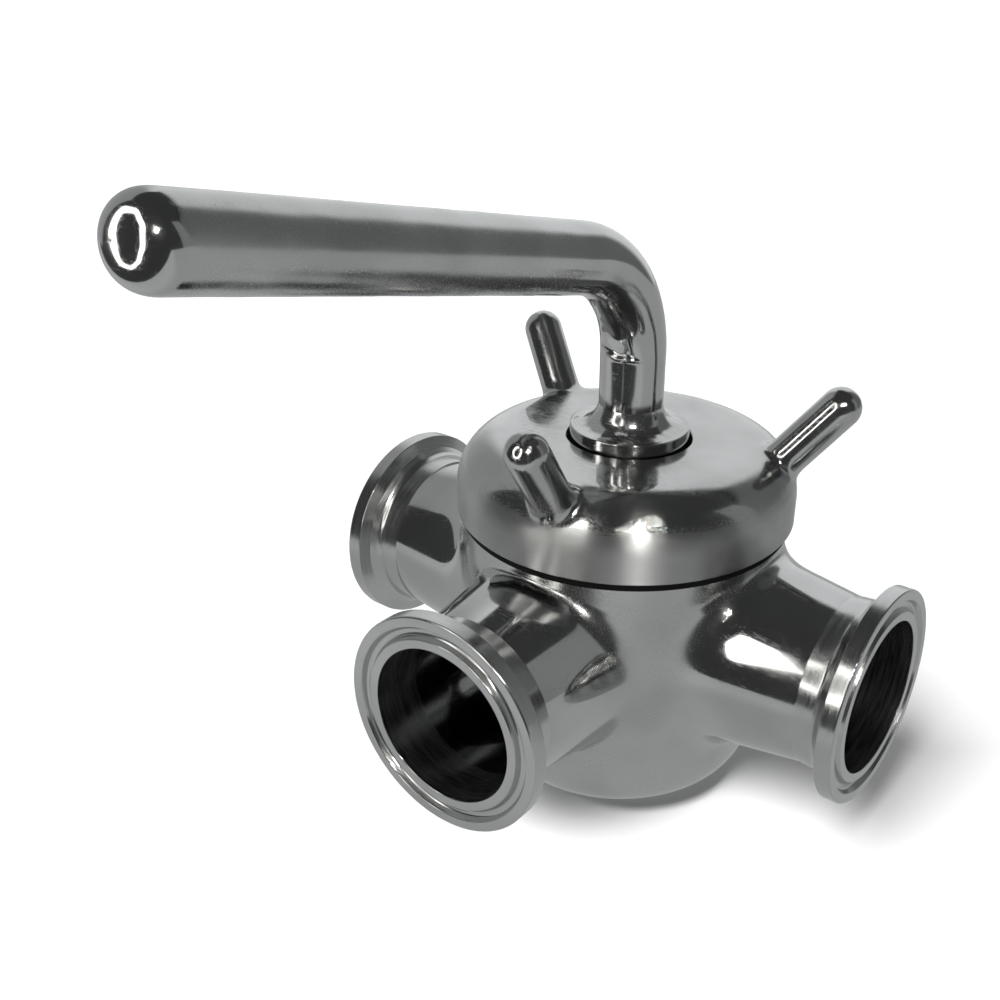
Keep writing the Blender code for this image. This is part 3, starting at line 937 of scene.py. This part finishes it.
def glow(name, colour, strength, fades=()):
    """Plain light; each fade is (axis, from, to, factor), and dims it along that axis."""
    mat = bpy.data.materials.new(name)
    mat.use_nodes = True
    tree = mat.node_tree
    tree.nodes.clear()
    light = tree.nodes.new("ShaderNodeEmission")
    light.inputs["Color"].default_value = (*colour, 1.0)
    light.inputs["Strength"].default_value = strength
    out = tree.nodes.new("ShaderNodeOutputMaterial")
    tree.links.new(light.outputs[0], out.inputs[0])
    if not fades:
        return mat
    parts = tree.nodes.new("ShaderNodeSeparateXYZ")
    tree.links.new(tree.nodes.new("ShaderNodeTexCoord").outputs["Object"], parts.inputs[0])
    level = None
    for axis, start, end, factor in fades:
        ramp = tree.nodes.new("ShaderNodeMapRange")
        ramp.interpolation_type = "SMOOTHSTEP"
        ramp.inputs["From Min"].default_value = start * MM
        ramp.inputs["From Max"].default_value = end * MM
        ramp.inputs["To Min"].default_value = 1.0
        ramp.inputs["To Max"].default_value = factor
        tree.links.new(parts.outputs[axis], ramp.inputs["Value"])
        times = tree.nodes.new("ShaderNodeMath")
        times.operation = "MULTIPLY"
        times.inputs[0].default_value = strength
        if level is not None:
            tree.links.new(level, times.inputs[0])
        tree.links.new(ramp.outputs[0], times.inputs[1])
        level = times.outputs[0]
    tree.links.new(level, light.inputs["Strength"])
    return mat


def only_reflected(obj, colour, strength, fades=()):
    """Makes a stage piece of light that the steel reflects, and that lights and shades nothing else."""
    obj.data.materials.append(glow(obj.name, colour, strength, fades))
    obj.visible_camera = False
    obj.visible_diffuse = False
    obj.visible_shadow = False
    return obj


def card(name, corner, side_a, side_b, colour, strength, fades=()):
    """A flat studio board."""
    o, a, b = Vector(corner), Vector(side_a), Vector(side_b)
    obj = mesh_object(name, [o[:], (o + a)[:], (o + a + b)[:], (o + b)[:]], [(0, 1, 2, 3)])
    return only_reflected(obj, colour, strength, fades)


def room(name, low, high, colour, strength):
    """A plain box of light round the studio, seen from inside."""
    points = [(x, y, z) for x in (low[X], high[X]) for y in (low[Y], high[Y]) for z in (low[Z], high[Z])]
    faces = [(0, 1, 3, 2), (4, 6, 7, 5), (0, 4, 5, 1), (2, 3, 7, 6), (0, 2, 6, 4), (1, 5, 7, 3)]
    return only_reflected(mesh_object(name, points, faces), colour, strength)


def ring_lamp(name, centre, facing, outer, inner, colour, strength):
    """A flat eight-sided lamp with a dark middle; outer and inner are half widths and heights."""
    sides = 8
    turns = [TAU * k / sides for k in range(sides)]
    points = [(w * math.cos(a), h * math.sin(a), 0.0) for w, h in (outer, inner) for a in turns]
    faces = [(k, (k + 1) % sides, sides + (k + 1) % sides, sides + k) for k in range(sides)]
    way = Vector(facing) - Vector(centre)
    place = Matrix.Translation(Vector(centre) * MM) @ way.to_track_quat("Z", "Y").to_matrix().to_4x4()
    return only_reflected(mesh_object(name, points, faces, place=place), colour, strength)


def floor_sheet(name, outline, height, grey):
    """A level matt sheet, as a stage piece."""
    sheet = mesh_object(name, [(x, y, height) for x, y in outline], [tuple(range(len(outline)))])
    mat = bpy.data.materials.new(name)
    mat.use_nodes = True
    shader = mat.node_tree.nodes["Principled BSDF"]
    shader.inputs["Base Color"].default_value = (grey, grey, grey, 1)
    shader.inputs["Roughness"].default_value = 0.9
    shader.inputs["Specular IOR Level"].default_value = 0.0
    sheet.data.materials.append(mat)
    return sheet


def make_floor():
    far = 6000.0
    floor = floor_sheet("floor", [(-far, -far), (far, -far), (far, far), (-far, far)], -0.2, 0.9)
    floor.visible_glossy = False

    # a board just above the floor, unseen, that deepens the shadow under the cup as in the photo
    middle_x, middle_y, flag_r, flag_z, steps = 3.0, -4.0, 31.0, 5.0, 48
    turns = [TAU * k / steps for k in range(steps)]
    outline = [(middle_x + flag_r * math.cos(a), middle_y + flag_r * math.sin(a)) for a in turns]
    flag = floor_sheet("foot_flag", outline, flag_z, 0.0)
    flag.visible_camera = False
    flag.visible_glossy = False


def make_reflections():
    """What the steel reflects: a pale table and walls, a dark room in front, and two lamps."""
    warm = (1.0, 0.99, 0.95)
    cool = (0.97, 0.99, 1.0)
    # the steel sees a greyer table top than the camera does, with an edge in front
    card("table_in_steel", (-1000, -200, 0), (2300, 0, 0), (0, 1200, 0), cool, 0.60,
         [(Y, -125, -70, 0.80)])
    card("back_wall", (-1000, 1000, 0), (2300, 0, 0), (0, 0, 1500), cool, 0.9,
         [(X, -50, 220, 0.19), (Z, 1150, 1500, 0.07)])
    card("left_wall", (-1000, -400, 0), (0, 1400, 0), (0, 0, 1500), cool, 0.92,
         [(Y, 850, 450, 0.44)])
    card("right_wall", (1300, 450, 0), (0, 550, 0), (0, 0, 1500), cool, 0.30)
    room("dark_room", (-2600, -1600, -5), (1400, 1100, 2600), cool, 0.055)
    ring_lamp("ring_lamp", (-31, -202, 161), (10, -60, 95), (76, 91), (49, 69), warm, 5.0)
    ring_lamp("small_lamp", (314, -331, 430), (0, 0, 60), (20, 20), (1, 1), warm, 420.0)


def make_light():
    """Even light from all round, a soft key from the front, and plain white behind for the camera."""
    world = bpy.data.worlds.new("studio")
    world.use_nodes = True
    world.node_tree.nodes["Background"].inputs["Color"].default_value = (1, 1, 1, 1)
    world.node_tree.nodes["Background"].inputs["Strength"].default_value = 0.27
    world.cycles_visibility.glossy = False
    bpy.context.scene.world = world

    backdrop = room("white_backdrop", (-5000, -5000, -5), (5000, 5000, 5000), (1, 1, 1), 1.1)
    backdrop.visible_camera = True
    backdrop.visible_glossy = False

    sun = bpy.data.lights.new("soft_key", "SUN")
    sun.angle = math.radians(30)
    sun.energy = 4.2
    key = link(bpy.data.objects.new("soft_key", sun))
    key.rotation_mode = "QUATERNION"
    key.rotation_quaternion = direction(-6, 50).to_track_quat("Z", "Y")
    key.visible_glossy = False
    bpy.context.scene.view_settings.view_transform = "Standard"


# ---------------------------------------------------------------- the valve
def make_housing():
    body_mat = polished("body_steel", rough=0.06, smear=0.07, wave=0.03, satin=(satin_body, 0.2))
    # painted shade: the bores, the cup and the ferrules' bores get steel painted near black for the shade
    # inside them
    bore_shade_mat = turned("bore_steel_painted_shade", rough=0.35, colour=BORE_PAINTED_SHADE)
    face_mat = turned("turned_steel")
    finish_piece(make_body(), [body_mat, bore_shade_mat], "housing",
                 ["valve_body", "port_stub_right", "port_stub_left", "port_stub_front"])
    for side in REACH:
        ferrule = make_ferrule(side)
        ferrule.visible_shadow = side != "front"  # the photo shows no shadow below the front one
        finish_piece(ferrule, [face_mat, bore_shade_mat], "housing", ["clamp_ferrule_" + side])


def make_gasket_and_lip_shade(rubber):
    """The black rubber ring, from the cap's lip down over the edge of the body's shoulder; the part over
    the shoulder's edge is painted shade for the shadow under the lip.
    """
    # painted shade: the foot reaches below the shoulder, so that the black band is also the shadow under
    # the cap's lip
    top, foot = CAP_LIP_Z - 0.05, SHOULDER_Z - 0.6
    gasket = lathe("lip_gasket_and_shade", [(GASKET_BORE_R, top, 0.1), (GASKET_R, top, 0.25), (GASKET_R, foot, 0.25),
                                  (GASKET_BORE_R, foot, 0.1)], closed=True)
    finish_piece(gasket, rubber, "housing", ["cap_gasket"])


def make_turning_parts(rubber):
    """The plug and all that turns with it."""
    mirror = polished("mirror_steel")
    handle_mat = polished("handle_steel", rough=0.09, smear=0.05, satin=(satin_grip, 0.2))
    weld_mat = polished("weld_steel", rough=0.13, smear=0.06, wave=0.03)
    # painted shade: the plug's steel is painted near black for the shade inside the body
    plug_shade_mat = turned("plug_steel", rough=0.35, colour=PLUG_PAINTED_SHADE)
    ptfe = plain("white_ptfe", PTFE, 0.42, 0.5, 0.006)

    finish_piece(make_plug(), plug_shade_mat, "plug", ["plug"])
    ring = hoop("plug_ring_seal", PLUG_RING_R, PLUG_RING_Z, PLUG_RING_MINOR)
    finish_piece(ring, rubber, "plug", ["plug_o_ring"])
    hole = STEM_R + 0.4
    washer = lathe("slip_washer", [
        (hole, washer_high.z, 0.2), (washer_high.x, washer_high.z, 0.3),
        (washer_high.x, washer_low.z, 0.3), (hole, washer_low.z, 0.2)], closed=True)
    finish_piece(washer, ptfe, "plug", ["thrust_washer"])
    stem_foot = plug_high.z + 0.3
    stem = lathe("stem_collar", [(0, STEM_TOP_Z), (STEM_R, STEM_TOP_Z, 0.35), (STEM_R, stem_foot, 0.2),
                                 (0, stem_foot)])
    finish_piece(stem, mirror, "plug", ["plug_stem"])
    finish_piece(make_weld(), weld_mat, "plug", ["leg_weld"])
    handle = make_handle()
    handle.visible_shadow = False                 # the photo shows no shadow of it
    finish_piece(handle, handle_mat, "plug", ["handle_leg", "handle_arm", "handle_end_cap"])


def make_valve():
    rubber = plain("black_rubber", RUBBER, 0.6, 0.4, 0.01, 0.05)
    make_housing()
    make_gasket_and_lip_shade(rubber)
    make_turning_parts(rubber)
    seal = hoop("stem_ring_seal", SEAL_R, SEAL_Z, SEAL_MINOR)
    finish_piece(seal, rubber, "seal", ["stem_seal"])
    cap = make_cap()
    cap.visible_shadow = False                    # the photo shows none that could be its own
    finish_piece(cap, brushed_cap("cap_steel"), "cap", ["cap_nut", "cap_pin_1", "cap_pin_2", "cap_pin_3"])


make_camera()
make_floor()
make_reflections()
make_light()
make_valve()
